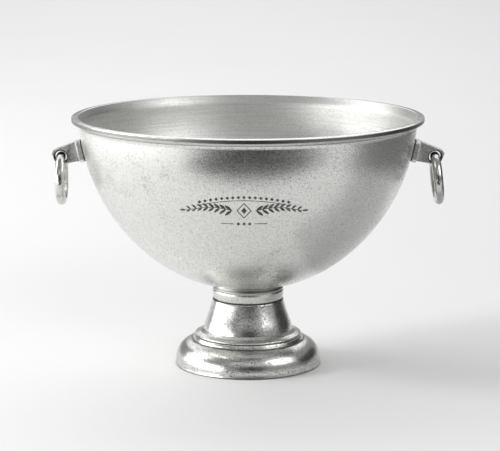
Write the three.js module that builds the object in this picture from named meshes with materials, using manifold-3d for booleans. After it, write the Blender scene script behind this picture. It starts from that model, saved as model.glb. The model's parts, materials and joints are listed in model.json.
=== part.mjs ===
// Footed champagne bucket: a wide flared bowl on a bell-shaped stem and a domed base, with a cast
// bracket and a free-swinging ring handle on each side. Millimetres, +Z up. The origin is the centre
// of the base at the level of the table; +X runs through the handles and -Y is the front.
import * as THREE from "three";
import { mergeVertices } from "three/addons/utils/BufferGeometryUtils.js";
import Module from "manifold-3d";

const wasm = await Module();
wasm.setup();

const DEG = Math.PI / 180;

// ---- Clearances ----
const SEAT_GAP = 0.3; // between pieces that are stacked or bolted face to face
const SCREW_GAP = 0.3; // radial, round a screw, stud or nut thread
const OVERCUT = 5; // how far a cutting tool runs past the face it opens
const SINK = 1; // how far a plate is started inside the bowl's wall before it is cut to fit it

// ---- Facets round each turned piece ----
const BOWL_SIDES = 64;
const BOWL_STEPS = 9; // straight steps up the wall's curve
const FOOT_SIDES = 40;
const STEM_SIDES = 36;
const SMALL_SIDES = 16;

// ---- Base: a low dome with a round step on top ----
const BASE_FOOT_R = 84;
const BASE_SKIRT_R = 83.36;
const BASE_SKIRT_H = 3.7;
const BASE_SHOULDER_R = 65.4;
const BASE_SHOULDER_H = 28.35;
const BASE_STEP_R = 63;
const BASE_STEP_H = 4.9;
const BASE_STEP_ROUND = 1.2;
const BASE_WALL = 4;
const BASE_PLATE = 6;
const BASE_TOE_H = 4.4; // height of the turned-in toe that carries the pads
const BASE_TOE_W = 17; // its width, in from the foot circle
const BASE_SKIRT_IN = 0.4; // how the dome's side leans in, and how far below the shoulder it does
const BASE_SKIRT_DROP = 6.6;
const BASE_CROWN_OUT = 7.2; // fullness of the dome just outside and below its shoulder
const BASE_CROWN_DROP = 2.1;

// ---- Pads let into the toe ----
const PAD_COUNT = 4;
const PAD_R = 5.5;
const PAD_DEPTH = 1.3; // held inside the toe
const PAD_SHOW = 0.6; // standing proud of it

// ---- Stem: a hollow bell with a flange that sits on the base ----
const STEM_H = 41.85;
const STEM_TOP_R = 40.67;
const STEM_WAIST_R = 51.5;
const STEM_FLANGE_R = 61.15;
const STEM_FLANGE_H = 5.85;
const STEM_FLANGE_EDGE = 2.05;
const STEM_FLANGE_TUCK = 0.683; // how far the flange's edge slopes in to its underside
const STEM_FLANGE_SHELF = { in: 3, up: 1.2 }; // where the flange's edge turns to its top face
const STEM_FLANGE_ROOT = { out: 2, drop: 1.4 }; // where that face turns up into the side
const STEM_LOW_IN = 2.46; // the side's curve above the flange
const STEM_LOW_UP = 12.27;
const STEM_HIGH_OUT = 5.48; // and its curve below the top
const STEM_HIGH_DROP = 20.82;
const STEM_WALL = 4;
const STEM_CROWN = 5;

// ---- Neck collar: a barrel ring between the stem and the bowl ----
const COLLAR_H = 17.4;
const COLLAR_R = 39.4;
const COLLAR_BULGE = 1.5;
const COLLAR_WALL = 6.5;
const COLLAR_ROUND = 0.8;

// ---- Bowl ----
const BOWL_FOOT_R = 39.8;
const BOWL_BODY_R = 191.43; // outside radius where the wall meets the lip
const BOWL_BODY_H = 182; // from the bowl's seat to that circle
const BOWL_WALL = 3;
const BOWL_LOW_OUT = 0.493; // fullness of the wall curve, as shares of its width and height
const BOWL_LOW_UP = 0.0767;
const BOWL_HIGH_OUT = 0.9445;
const BOWL_HIGH_UP = 0.4951;
const LIP_REACH = 8.57; // how far the lip stands out past the body
const LIP_UNDER_H = 7.6; // from the body circle to the lip's lower edge
const LIP_COVE = 1.2;
const LIP_COVE_H = 4;
const LIP_EDGE_H = 4.3;
const LIP_EDGE_ROUND = 0.7;
const LIP_CREST_H = 12.65; // from the body circle to the top of the lip
const LIP_CREST_IN = 7.4; // from the lip's edge in to its crest
const LIP_CREST_ROUND = 1;
const LIP_CREST_FALL = { out: 0.2, in: 0.5 }; // drop of the crest's two sides

// ---- Boss under the bowl, and the stud, washer and nut that clamp the foot to it ----
const BOSS_R = 14;
const BOSS_H = 13;
const BOSS_BORE_DEPTH = 12;
const STUD_R = 4;
const STUD_TAIL = 3; // length left below the nut
const WASHER_R = 20;
const WASHER_T = 3;
const NUT_FLATS = 13;
const NUT_H = 6.5;

// ---- Ring handles ----
const RING_R = 25.2; // to the middle of the bar
const RING_BAR_R = 5.6;
const RING_SIDES = 32;
const RING_BAR_SIDES = 12;
const RING_LEAN = { left: 0, right: 6 * DEG }; // outward lean of each ring at rest

// ---- Brackets; every drop is measured down from the circle where the wall meets the lip ----
const EYE_OUT = 27.542; // from the bowl's wall out to the centre of the ring's eye
const EYE_DROP = 34.8;
const EYE_CLEARANCE = 0.507; // round the bar where it curves out of the eye
const EYE_METAL = 1.7; // metal round the eye, below and at the end
const ARM_CAP = 3.1; // metal over the eye
const ARM_SLOPE = 21.8 * DEG; // slope of the arm's top face
const ARM_TIP_ROUND = 4.5;
const ARM_ROOT_DROP = 38.4; // underside of the arm where it leaves the flange
const ARM_T = 12; // thickness at the eye
const ARM_ROOT_T = 19; // thickness at the flange
const ARM_FLARE = 14; // length over which it widens
const FLANGE_LOW_DROP = 40;
const FLANGE_HIGH_DROP = 15.4;
const FLANGE_W = 22;
const FLANGE_T = 4.6;
const FLANGE_ROUND = 4;
const GASKET_T = 1.2;
const GASKET_INSET = 0.7;

// ---- Screws that hold a bracket, from inside the bowl ----
const SCREW_R = 2;
const SCREW_GRIP = 10.5; // length inside the bracket
const SCREW_HEAD_R = 4;
const SCREW_HEAD_H = 2.4;
const SCREW_HEAD_EDGE = 0.8;
const SCREW_HEAD_STAND = 1; // a flat head touches the hollow wall at its edge only
const SCREW_LOW_DROP = 32.6;
const SCREW_HIGH_DROP = 21.4;

// ---- Levels, from the table up ----
const baseLow = PAD_SHOW;
const baseTop = baseLow + BASE_SHOULDER_H + BASE_STEP_H;
const stemLow = baseTop + SEAT_GAP;
const stemTop = stemLow + STEM_H;
const collarLow = stemTop + SEAT_GAP;
const collarTop = collarLow + COLLAR_H;
const bowlLow = collarTop + SEAT_GAP;
const bowlBody = bowlLow + BOWL_BODY_H;
const boreTop = bowlLow - BOSS_H + BOSS_BORE_DEPTH;
const eyeZ = bowlBody - EYE_DROP;
const armRootZ = bowlBody - ARM_ROOT_DROP;
const flangeLow = bowlBody - FLANGE_LOW_DROP;
const flangeHigh = bowlBody - FLANGE_HIGH_DROP;
const screwLevels = { low: bowlBody - SCREW_LOW_DROP, high: bowlBody - SCREW_HIGH_DROP };

// ---- Solids ----

// A three.js geometry as a manifold-3d solid: vertices merged by position, slivers dropped.
function solid(geometry) {
  const bare = geometry.clone();
  bare.deleteAttribute("normal");
  bare.deleteAttribute("uv");
  const merged = mergeVertices(bare);
  const corners = merged.index.array;
  const kept = [];
  for (let i = 0; i < corners.length; i += 3) {
    const [a, b, c] = corners.slice(i, i + 3);
    if (a !== b && b !== c && c !== a) kept.push(a, b, c);
  }
  return new wasm.Manifold(
    new wasm.Mesh({
      numProp: 3,
      vertProperties: merged.attributes.position.array,
      triVerts: new Uint32Array(kept),
    }),
  );
}

// A manifold-3d solid as a three.js geometry with flat faces.
function geometryOf(shape) {
  const mesh = shape.getMesh();
  const geometry = new THREE.BufferGeometry();
  geometry.setAttribute("position", new THREE.Float32BufferAttribute(mesh.vertProperties, 3));
  geometry.setIndex(new THREE.Uint32BufferAttribute(mesh.triVerts, 1));
  const faceted = geometry.toNonIndexed();
  faceted.computeVertexNormals();
  return faceted;
}

const point = (r, z) => new THREE.Vector2(r, z);

// A profile of (radius, height) points turned about Z; the outline runs anticlockwise.
function turned(profile, sides) {
  return new THREE.LatheGeometry(profile, sides).rotateX(90 * DEG);
}

function closedRing(profile, sides) {
  return turned([...profile, profile[0].clone()], sides);
}

// A curve moved sideways by a distance, to the left of its direction when that is positive.
function offset(curve, distance, steps) {
  const points = [];
  for (let i = 0; i <= steps; i++) {
    const at = curve.getPoint(i / steps);
    const along = curve.getTangent(i / steps);
    points.push(point(at.x - along.y * distance, at.y + along.x * distance));
  }
  return points;
}

function bar(radius, length, sides = SMALL_SIDES) {
  return new THREE.CylinderGeometry(radius, radius, length, sides).rotateX(90 * DEG);
}

// ---- Turned pieces ----

const bowlCurve = new THREE.CubicBezierCurve(
  point(BOWL_FOOT_R, bowlLow),
  point(
    BOWL_FOOT_R + BOWL_LOW_OUT * (BOWL_BODY_R - BOWL_FOOT_R),
    bowlLow + BOWL_LOW_UP * BOWL_BODY_H,
  ),
  point(
    BOWL_FOOT_R + BOWL_HIGH_OUT * (BOWL_BODY_R - BOWL_FOOT_R),
    bowlLow + BOWL_HIGH_UP * BOWL_BODY_H,
  ),
  point(BOWL_BODY_R, bowlBody),
);

// Radius and slope of the bowl's outside at a height.
function bowlAt(z) {
  let low = 0;
  let high = 1;
  for (let i = 0; i < 40; i++) {
    const middle = (low + high) / 2;
    if (bowlCurve.getPoint(middle).y < z) low = middle;
    else high = middle;
  }
  const along = bowlCurve.getTangent(low);
  return { r: bowlCurve.getPoint(low).x, lean: Math.atan2(along.x, along.y) };
}

function bowlGeometry() {
  const lipR = BOWL_BODY_R + LIP_REACH;
  const lipLow = bowlBody + LIP_UNDER_H;
  const lipHigh = lipLow + LIP_EDGE_H;
  const crestR = lipR - LIP_CREST_IN;
  const crest = bowlBody + LIP_CREST_H;
  const boreR = STUD_R + SCREW_GAP;
  const bossLow = bowlLow - BOSS_H;
  const outside = bowlCurve.getPoints(BOWL_STEPS);
  const inside = offset(bowlCurve, BOWL_WALL, BOWL_STEPS).reverse();
  return turned(
    [
      point(0, boreTop),
      point(boreR, boreTop),
      point(boreR, bossLow),
      point(BOSS_R, bossLow),
      point(BOSS_R, bowlLow),
      ...outside,
      point(BOWL_BODY_R + LIP_COVE, bowlBody + LIP_COVE_H),
      point(lipR - LIP_EDGE_ROUND, lipLow),
      point(lipR, lipLow + LIP_EDGE_ROUND),
      point(lipR, lipHigh - LIP_EDGE_ROUND),
      point(lipR - LIP_EDGE_ROUND, lipHigh),
      point(crestR + LIP_CREST_ROUND, crest - LIP_CREST_FALL.out),
      point(crestR, crest),
      point(crestR - LIP_CREST_ROUND, crest - LIP_CREST_FALL.in),
      ...inside,
      point(0, inside[inside.length - 1].y),
    ],
    BOWL_SIDES,
  );
}

function collarGeometry() {
  const middle = (collarLow + collarTop) / 2;
  const half = COLLAR_H / 2;
  const bulge = [];
  for (let i = -2; i <= 2; i++) {
    const share = i / 2;
    const up = share * (half - COLLAR_ROUND);
    bulge.push(point(COLLAR_R + COLLAR_BULGE * (1 - share * share), middle + up));
  }
  return closedRing(
    [
      point(COLLAR_R - COLLAR_WALL, collarLow),
      point(COLLAR_R - COLLAR_ROUND, collarLow),
      ...bulge,
      point(COLLAR_R - COLLAR_ROUND, collarTop),
      point(COLLAR_R - COLLAR_WALL, collarTop),
    ],
    STEM_SIDES,
  );
}

function stemGeometry() {
  const flangeTop = stemLow + STEM_FLANGE_H;
  const shelf = stemLow + STEM_FLANGE_EDGE + STEM_FLANGE_SHELF.up;
  const side = new THREE.CubicBezierCurve(
    point(STEM_WAIST_R, flangeTop),
    point(STEM_WAIST_R - STEM_LOW_IN, flangeTop + STEM_LOW_UP),
    point(STEM_TOP_R + STEM_HIGH_OUT, stemTop - STEM_HIGH_DROP),
    point(STEM_TOP_R, stemTop),
  );
  const inside = offset(side, STEM_WALL, 4);
  const hollow = inside.filter((at) => at.y < stemTop - STEM_CROWN);
  const crown = hollow[hollow.length - 1];
  return closedRing(
    [
      point(STEM_WAIST_R - STEM_WALL, stemLow),
      point(STEM_FLANGE_R - STEM_FLANGE_TUCK, stemLow),
      point(STEM_FLANGE_R, stemLow + STEM_FLANGE_EDGE),
      point(STEM_FLANGE_R - STEM_FLANGE_SHELF.in, shelf),
      point(STEM_WAIST_R + STEM_FLANGE_ROOT.out, flangeTop - STEM_FLANGE_ROOT.drop),
      ...side.getPoints(5),
      point(STUD_R + SCREW_GAP, stemTop),
      point(STUD_R + SCREW_GAP, stemTop - STEM_CROWN),
      point(crown.x, stemTop - STEM_CROWN),
      ...hollow.slice(0, -1).reverse(),
    ],
    STEM_SIDES,
  );
}

function baseGeometry() {
  const shoulder = baseLow + BASE_SHOULDER_H;
  const dome = new THREE.CubicBezierCurve(
    point(BASE_SKIRT_R, baseLow + BASE_SKIRT_H),
    point(BASE_SKIRT_R - BASE_SKIRT_IN, shoulder - BASE_SKIRT_DROP),
    point(BASE_SHOULDER_R + BASE_CROWN_OUT, shoulder - BASE_CROWN_DROP),
    point(BASE_SHOULDER_R, shoulder),
  );
  const ceiling = baseTop - BASE_PLATE;
  const hollow = offset(dome, BASE_WALL, 4).filter((at) => at.y < ceiling);
  const toeTop = baseLow + BASE_TOE_H;
  const turnedBase = closedRing(
    [
      point(BASE_FOOT_R - BASE_TOE_W, baseLow),
      point(BASE_FOOT_R, baseLow),
      ...dome.getPoints(6),
      point(BASE_STEP_R, shoulder + SEAT_GAP),
      point(BASE_STEP_R, baseTop - BASE_STEP_ROUND),
      point(BASE_STEP_R - BASE_STEP_ROUND, baseTop),
      point(STUD_R + SCREW_GAP, baseTop),
      point(STUD_R + SCREW_GAP, ceiling),
      point(hollow[hollow.length - 1].x - BASE_WALL, ceiling),
      ...hollow.filter((at) => at.y > toeTop).reverse(),
      point(BASE_SKIRT_R - BASE_WALL, toeTop),
      point(BASE_FOOT_R - BASE_TOE_W, toeTop),
    ],
    FOOT_SIDES,
  );
  let shape = solid(turnedBase);
  for (const place of padPlaces()) {
    const pocket = bar(PAD_R + SEAT_GAP, 2 * (PAD_DEPTH + SEAT_GAP));
    shape = shape.subtract(solid(pocket.translate(place.x, place.y, baseLow)));
  }
  return geometryOf(shape);
}

// Centres of the pads, half a step round from the handles so they stand on the diagonals.
function padPlaces() {
  const circle = BASE_FOOT_R - BASE_TOE_W / 2;
  const places = [];
  for (let i = 0; i < PAD_COUNT; i++) {
    const angle = ((i + 0.5) * 2 * Math.PI) / PAD_COUNT;
    places.push(point(circle * Math.cos(angle), circle * Math.sin(angle)));
  }
  return places;
}

// ---- Clamp ----

const washerTop = baseTop - BASE_PLATE - SEAT_GAP;
const nutTop = washerTop - WASHER_T - SEAT_GAP;

function annulus(outer, inner, low, height, sides) {
  return closedRing(
    [
      point(inner, low),
      point(outer, low),
      point(outer, low + height),
      point(inner, low + height),
    ],
    sides,
  );
}

function nutGeometry() {
  const corner = NUT_FLATS / 2 / Math.cos(30 * DEG);
  const hexagon = solid(bar(corner, NUT_H, 6).translate(0, 0, nutTop - NUT_H / 2));
  const bore = solid(bar(STUD_R + SCREW_GAP, NUT_H + OVERCUT).translate(0, 0, nutTop - NUT_H / 2));
  return geometryOf(hexagon.subtract(bore));
}

function studGeometry() {
  const low = nutTop - NUT_H - STUD_TAIL;
  const high = boreTop - SEAT_GAP;
  return bar(STUD_R, high - low).translate(0, 0, (low + high) / 2);
}

// ---- Brackets, gaskets and screws, all drawn at the right-hand (+X) handle ----

const flangeMidZ = (flangeLow + flangeHigh) / 2;
const flangeWall = bowlAt(flangeMidZ);
const backing = SEAT_GAP + GASKET_T + SEAT_GAP; // between the wall and the bracket's back
const eyeX = bowlAt(eyeZ).r + EYE_OUT;

// The eye is a straight bore, so it clears the bar where the ring has curved down at its mouths.
const mouthAngle = Math.asin(ARM_T / 2 / RING_R);
const mouthDrop = RING_R * (1 - Math.cos(mouthAngle));
const eyeBoreR = mouthDrop + RING_BAR_R / Math.cos(mouthAngle) + EYE_CLEARANCE;
const eyeR = eyeBoreR + EYE_METAL;
const armTop = eyeBoreR + ARM_CAP; // from the eye's centre square to the arm's top face

// Bowl wall grown outward by a clearance, in the band of heights round the bracket.
function grownBowl(clearance) {
  const reach = flangeHigh - flangeLow;
  const points = offset(bowlCurve, -clearance, BOWL_STEPS);
  const top = points[points.length - 1];
  const profile = [
    point(0, points[0].y),
    ...points,
    point(top.x + Math.tan(flangeWall.lean) * reach, top.y + reach),
    point(0, top.y + reach),
  ];
  return solid(turned(profile, BOWL_SIDES));
}

// Moves a geometry drawn round the origin, facing +Z, onto the bowl's wall at a height.
function ontoWall(geometry, z, out = 0) {
  const wall = bowlAt(z);
  return geometry
    .rotateZ(90 * DEG)
    .rotateY(90 * DEG + wall.lean)
    .translate(wall.r + out * Math.cos(wall.lean), 0, z - out * Math.sin(wall.lean));
}

// A plate with rounded corners, width along Y and height up the wall, standing out from it.
function wallPlate(width, height, thickness) {
  const w = width / 2;
  const h = height / 2;
  const round = Math.min(FLANGE_ROUND, w, h);
  const outline = new THREE.Shape();
  outline.absarc(w - round, h - round, round, 0, 90 * DEG);
  outline.absarc(round - w, h - round, round, 90 * DEG, 180 * DEG);
  outline.absarc(round - w, round - h, round, 180 * DEG, 270 * DEG);
  outline.absarc(w - round, round - h, round, 270 * DEG, 360 * DEG);
  const plate = new THREE.ExtrudeGeometry(outline, {
    depth: thickness,
    bevelEnabled: false,
    curveSegments: 4,
  });
  return solid(ontoWall(plate.translate(0, 0, -thickness / 2), flangeMidZ, thickness / 2 - SINK));
}

// Side view of the arm: a bar that slopes down to a squared tip, with the metal round the eye.
function armOutline() {
  const down = point(Math.cos(ARM_SLOPE), -Math.sin(ARM_SLOPE)); // along the top face
  const up = point(Math.sin(ARM_SLOPE), Math.cos(ARM_SLOPE)); // square to it
  const eye = point(eyeX, eyeZ);
  const at = (along, square) =>
    eye.clone().addScaledVector(down, along).addScaledVector(up, square);
  const wallX = bowlAt(armRootZ).r;
  const root = point(wallX, armRootZ);
  const reach = eye.distanceTo(root);
  const toEye = Math.atan2(eye.y - root.y, eye.x - root.x);
  const under = toEye - Math.asin(eyeR / reach);
  const tip = at(eyeR - ARM_TIP_ROUND, armTop - ARM_TIP_ROUND);
  const back = (eyeX - wallX + OVERCUT) / Math.cos(ARM_SLOPE);
  const outline = new THREE.Shape();
  const bearing = under - 90 * DEG;
  outline.moveTo(root.x - OVERCUT, root.y - OVERCUT * Math.tan(under));
  outline.lineTo(eye.x + eyeR * Math.cos(bearing), eye.y + eyeR * Math.sin(bearing));
  outline.absarc(eye.x, eye.y, eyeR, bearing, -ARM_SLOPE);
  outline.absarc(tip.x, tip.y, ARM_TIP_ROUND, -ARM_SLOPE, 90 * DEG - ARM_SLOPE);
  const rootTop = at(-back, armTop);
  outline.lineTo(rootTop.x, rootTop.y);
  return outline;
}

// The same arm from above: straight at the eye, widening in a curve to the flange.
function armPlan() {
  const wallX = bowlAt(armRootZ).r - OVERCUT;
  const straight = wallX + OVERCUT + ARM_FLARE;
  const end = eyeX + eyeR + armTop;
  const outline = new THREE.Shape();
  outline.moveTo(end, -ARM_T / 2);
  outline.lineTo(end, ARM_T / 2);
  outline.lineTo(straight, ARM_T / 2);
  outline.quadraticCurveTo(straight - ARM_FLARE / 2, ARM_T / 2, wallX, ARM_ROOT_T / 2);
  outline.lineTo(wallX, -ARM_ROOT_T / 2);
  outline.quadraticCurveTo(straight - ARM_FLARE / 2, -ARM_T / 2, straight, -ARM_T / 2);
  return outline;
}

function screwTool(z, radius, length) {
  return solid(ontoWall(bar(radius, length), z));
}

function bracketGeometry() {
  const tall = 2 * (flangeHigh - flangeLow);
  const side = new THREE.ExtrudeGeometry(armOutline(), {
    depth: FLANGE_W,
    bevelEnabled: false,
    curveSegments: 6,
  });
  const plan = new THREE.ExtrudeGeometry(armPlan(), {
    depth: 2 * tall,
    bevelEnabled: false,
    curveSegments: 4,
  });
  const arm = solid(side.rotateX(90 * DEG).translate(0, FLANGE_W / 2, 0)).intersect(
    solid(plan.translate(0, 0, eyeZ - tall)),
  );
  const flangeH = (flangeHigh - flangeLow) / Math.cos(flangeWall.lean);
  const flange = wallPlate(FLANGE_W, flangeH, FLANGE_T + backing + SINK);
  const eye = new THREE.CylinderGeometry(eyeBoreR, eyeBoreR, ARM_T + OVERCUT, 2 * SMALL_SIDES);
  let shape = arm.add(flange).subtract(grownBowl(backing));
  shape = shape.subtract(solid(eye.translate(eyeX, 0, eyeZ)));
  const bore = 2 * (backing + SCREW_GRIP + SCREW_GAP);
  for (const z of Object.values(screwLevels)) {
    shape = shape.subtract(screwTool(z, SCREW_R + SCREW_GAP, bore));
  }
  return geometryOf(shape);
}

function gasketGeometry() {
  const height = (flangeHigh - flangeLow) / Math.cos(flangeWall.lean);
  const thickness = 2 * (SEAT_GAP + GASKET_T + SINK);
  let shape = wallPlate(FLANGE_W - 2 * GASKET_INSET, height - 2 * GASKET_INSET, thickness)
    .intersect(grownBowl(SEAT_GAP + GASKET_T))
    .subtract(grownBowl(SEAT_GAP));
  for (const z of Object.values(screwLevels)) {
    shape = shape.subtract(screwTool(z, SCREW_R + SCREW_GAP, 4 * OVERCUT));
  }
  return geometryOf(shape);
}

// A domed screw drawn along +Z: its head's underside is at the origin and its shank points up.
function screwGeometry(z) {
  const shank = SCREW_HEAD_STAND + BOWL_WALL + backing + SCREW_GRIP;
  const dome = new THREE.EllipseCurve(
    0, -SCREW_HEAD_EDGE, SCREW_HEAD_R, SCREW_HEAD_H - SCREW_HEAD_EDGE, -90 * DEG, 0,
  );
  const profile = [
    ...dome.getPoints(4),
    point(SCREW_HEAD_R, 0),
    point(SCREW_R, 0),
    point(SCREW_R, shank),
    point(0, shank),
  ];
  profile[0].x = 0;
  const screw = turned(profile, SMALL_SIDES);
  return ontoWall(screw, z, -BOWL_WALL - SCREW_HEAD_STAND);
}

// Screw holes through the bowl's wall, on both sides.
function drilledBowl() {
  let shape = solid(bowlGeometry());
  for (const z of Object.values(screwLevels)) {
    const hole = screwTool(z, SCREW_R + SCREW_GAP, 4 * OVERCUT);
    shape = shape.subtract(hole).subtract(hole.rotate([0, 0, 180]));
  }
  return geometryOf(shape);
}

function ringGeometry() {
  return new THREE.TorusGeometry(RING_R, RING_BAR_R, RING_BAR_SIDES, RING_SIDES)
    .rotateY(90 * DEG)
    .translate(0, 0, -RING_R);
}

// ---- Assembly ----

const FINISHES = {
  silver: { color: 0xc4c4bf, roughness: 0.28, metalness: 1 },
  castSilver: { color: 0xa9a8a2, roughness: 0.42, metalness: 1 },
  steel: { color: 0x9a9c9e, roughness: 0.35, metalness: 1 },
  rubber: { color: 0x1c1c1c, roughness: 0.85, metalness: 0 },
  felt: { color: 0x2e3a30, roughness: 0.95, metalness: 0 },
};

const bucket = new THREE.Group();

function place(parent, name, geometry, finish) {
  const mesh = new THREE.Mesh(geometry, new THREE.MeshStandardMaterial(FINISHES[finish]));
  mesh.name = name;
  parent.add(mesh);
  return mesh;
}

place(bucket, "bowl", drilledBowl(), "silver");
place(bucket, "neck_collar", collarGeometry(), "silver");
place(bucket, "stem_bell", stemGeometry(), "silver");
place(bucket, "base", baseGeometry(), "silver");
place(bucket, "clamp_stud", studGeometry(), "steel");
const washer = annulus(WASHER_R, STUD_R + SCREW_GAP, washerTop - WASHER_T, WASHER_T, SMALL_SIDES);
place(bucket, "clamp_washer", washer, "steel");
place(bucket, "clamp_nut", nutGeometry(), "steel");

padPlaces().forEach((at, i) => {
  const pad = place(bucket, `foot_pad_${i + 1}`, bar(PAD_R, PAD_SHOW + PAD_DEPTH), "felt");
  pad.position.set(at.x, at.y, (PAD_SHOW + PAD_DEPTH) / 2);
});

for (const [side, turn] of [["right", 0], ["left", Math.PI]]) {
  const handle = new THREE.Group();
  handle.rotation.z = turn;
  bucket.add(handle);
  place(handle, `bracket_${side}`, bracketGeometry(), "castSilver");
  place(handle, `gasket_${side}`, gasketGeometry(), "rubber");
  for (const [level, z] of Object.entries(screwLevels)) {
    place(handle, `screw_${side}_${level}`, screwGeometry(z), "steel");
  }
  const ring = place(handle, `ring_${side}`, ringGeometry(), "castSilver");
  ring.position.set(eyeX, 0, eyeZ);
  ring.rotation.y = -RING_LEAN[side];
}

export default bucket;
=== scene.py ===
"""Footed champagne bucket in antiqued silver, with a cast bracket and a ring handle on each side.

Sizes are in millimetres and are turned into metres when a mesh is drawn. The origin is the centre
of the base on the table, +X runs through the handles and -Y is the front.
"""
import json
import logging
import math
from collections.abc import Iterable, Sequence
from dataclasses import dataclass, field, replace
from enum import Enum

import bpy
from mathutils import Matrix, Vector


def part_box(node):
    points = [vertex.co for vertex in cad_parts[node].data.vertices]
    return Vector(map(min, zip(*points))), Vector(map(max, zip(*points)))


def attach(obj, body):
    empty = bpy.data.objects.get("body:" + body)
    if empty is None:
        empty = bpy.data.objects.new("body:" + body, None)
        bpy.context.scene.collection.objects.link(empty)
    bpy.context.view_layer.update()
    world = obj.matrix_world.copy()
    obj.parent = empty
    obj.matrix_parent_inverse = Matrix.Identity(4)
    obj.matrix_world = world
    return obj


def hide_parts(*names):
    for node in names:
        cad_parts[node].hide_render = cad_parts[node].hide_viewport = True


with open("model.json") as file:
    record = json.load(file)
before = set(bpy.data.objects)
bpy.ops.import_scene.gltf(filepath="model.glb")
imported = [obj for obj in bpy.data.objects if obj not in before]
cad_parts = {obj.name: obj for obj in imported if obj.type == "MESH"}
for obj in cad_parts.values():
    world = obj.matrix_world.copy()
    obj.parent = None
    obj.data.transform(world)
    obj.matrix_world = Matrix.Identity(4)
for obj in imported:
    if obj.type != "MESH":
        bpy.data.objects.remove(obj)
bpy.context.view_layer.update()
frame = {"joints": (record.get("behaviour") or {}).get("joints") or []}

MM = 0.001
WELD = 0.000002

Point = tuple[float, float]
Corner = tuple[float, float, float]
Object = bpy.types.Object
Material = bpy.types.Material
Tree = bpy.types.NodeTree
Node = bpy.types.Node
Socket = bpy.types.NodeSocket

logging.basicConfig(level=logging.INFO, format="%(message)s")
log = logging.getLogger("bucket")


# ---- Outlines ----


def bezier(a: Point, b: Point, c: Point, d: Point, steps: int) -> list[Point]:
    """Points along a cubic curve.

    Args:
        a: Start of the curve.
        b: Handle of the start.
        c: Handle of the end.
        d: End of the curve.
        steps: Number of straight steps.

    Returns:
        The points from start to end, both included.
    """
    points = []
    for i in range(steps + 1):
        t = i / steps
        s = 1 - t
        weights = (s**3, 3 * s * s * t, 3 * s * t * t, t**3)
        points.append(tuple(sum(w * p[k] for w, p in zip(weights, (a, b, c, d))) for k in (0, 1)))
    return points


def offset(points: Sequence[Point], distance: float) -> list[Point]:
    """A run of points moved sideways.

    Args:
        points: The run.
        distance: How far, to the left of the run's direction when positive.

    Returns:
        The moved points.
    """
    moved = []
    for i, at in enumerate(points):
        before = points[max(i - 1, 0)]
        after = points[min(i + 1, len(points) - 1)]
        along = Vector((after[0] - before[0], after[1] - before[1])).normalized()
        moved.append((at[0] - along.y * distance, at[1] + along.x * distance))
    return moved


def rounded(corners: Sequence[Corner], steps: int = 5) -> list[Point]:
    """Straight runs with rounded corners.

    Args:
        corners: (across, up, radius) of each corner; the ends keep a radius of 0.
        steps: Straight steps in each rounded corner.

    Returns:
        The points of the run.
    """
    points = []
    last = len(corners) - 1
    for i, (x, z, radius) in enumerate(corners):
        here = Vector((x, z))
        if radius <= 0 or i in (0, last):
            points.append((x, z))
            continue
        back = Vector(corners[i - 1][:2]) - here
        ahead = Vector(corners[i + 1][:2]) - here
        half = back.angle(ahead) / 2
        reach = min(radius / math.tan(half), 0.49 * back.length, 0.49 * ahead.length)
        radius = reach * math.tan(half)
        start = here + back.normalized() * reach
        end = here + ahead.normalized() * reach
        middle = here + (back.normalized() + ahead.normalized()).normalized() * radius / math.sin(half)
        first = start - middle
        turn = first.angle_signed(end - middle)
        for k in range(steps + 1):
            at = first.copy()
            at.rotate(Matrix.Rotation(-turn * k / steps, 2))
            points.append(tuple(middle + at))
    return points


# ---- Modelling by hand ----


def deselect() -> None:
    """Leaves nothing selected, in object mode."""
    if bpy.context.mode != "OBJECT":
        bpy.ops.object.mode_set(mode="OBJECT")
    bpy.ops.object.select_all(action="DESELECT")


def choose(obj: Object) -> None:
    """Selects one object only and makes it active.

    Args:
        obj: The object.
    """
    deselect()
    obj.select_set(True)
    bpy.context.view_layer.objects.active = obj


def started(name: str) -> Object:
    """Names the primitive just added and puts its place and size in its mesh.

    Args:
        name: Name of the object.

    Returns:
        The object.
    """
    obj = bpy.context.active_object
    obj.name = name
    obj.data.name = name
    choose(obj)
    bpy.ops.object.transform_apply(location=True, rotation=True, scale=True)
    return obj


def opened(obj: Object) -> None:
    """Opens a mesh for editing, with everything in it selected.

    Args:
        obj: The object.
    """
    choose(obj)
    bpy.ops.object.mode_set(mode="EDIT")
    bpy.ops.mesh.select_all(action="SELECT")


def traced(name: str, points: Iterable[Vector], closed: bool) -> Object:
    """A run of edges: a small plane is merged to one vertex, which is extruded point by point.

    Args:
        name: Name of the object.
        points: Places in metres.
        closed: Whether the run comes back to its first point.

    Returns:
        The object, left in edit mode with everything selected.
    """
    run = list(points)
    deselect()
    bpy.ops.mesh.primitive_plane_add(size=MM, location=run[0])
    obj = started(name)
    opened(obj)
    bpy.ops.mesh.merge(type="CENTER")
    for here, there in zip(run, run[1:] + run[:1] if closed else run[1:]):
        bpy.ops.mesh.extrude_region_move(TRANSFORM_OT_translate={"value": there - here})
    bpy.ops.mesh.select_all(action="SELECT")
    if closed:
        bpy.ops.mesh.remove_doubles(threshold=WELD)
    return obj


def tidied(obj: Object) -> Object:
    """Merges doubles and turns every face outwards, then leaves edit mode.

    Args:
        obj: The object.

    Returns:
        The same object.
    """
    opened(obj)
    bpy.ops.mesh.remove_doubles(threshold=WELD)
    bpy.ops.mesh.normals_make_consistent(inside=False)
    bpy.ops.object.mode_set(mode="OBJECT")
    return obj


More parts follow.
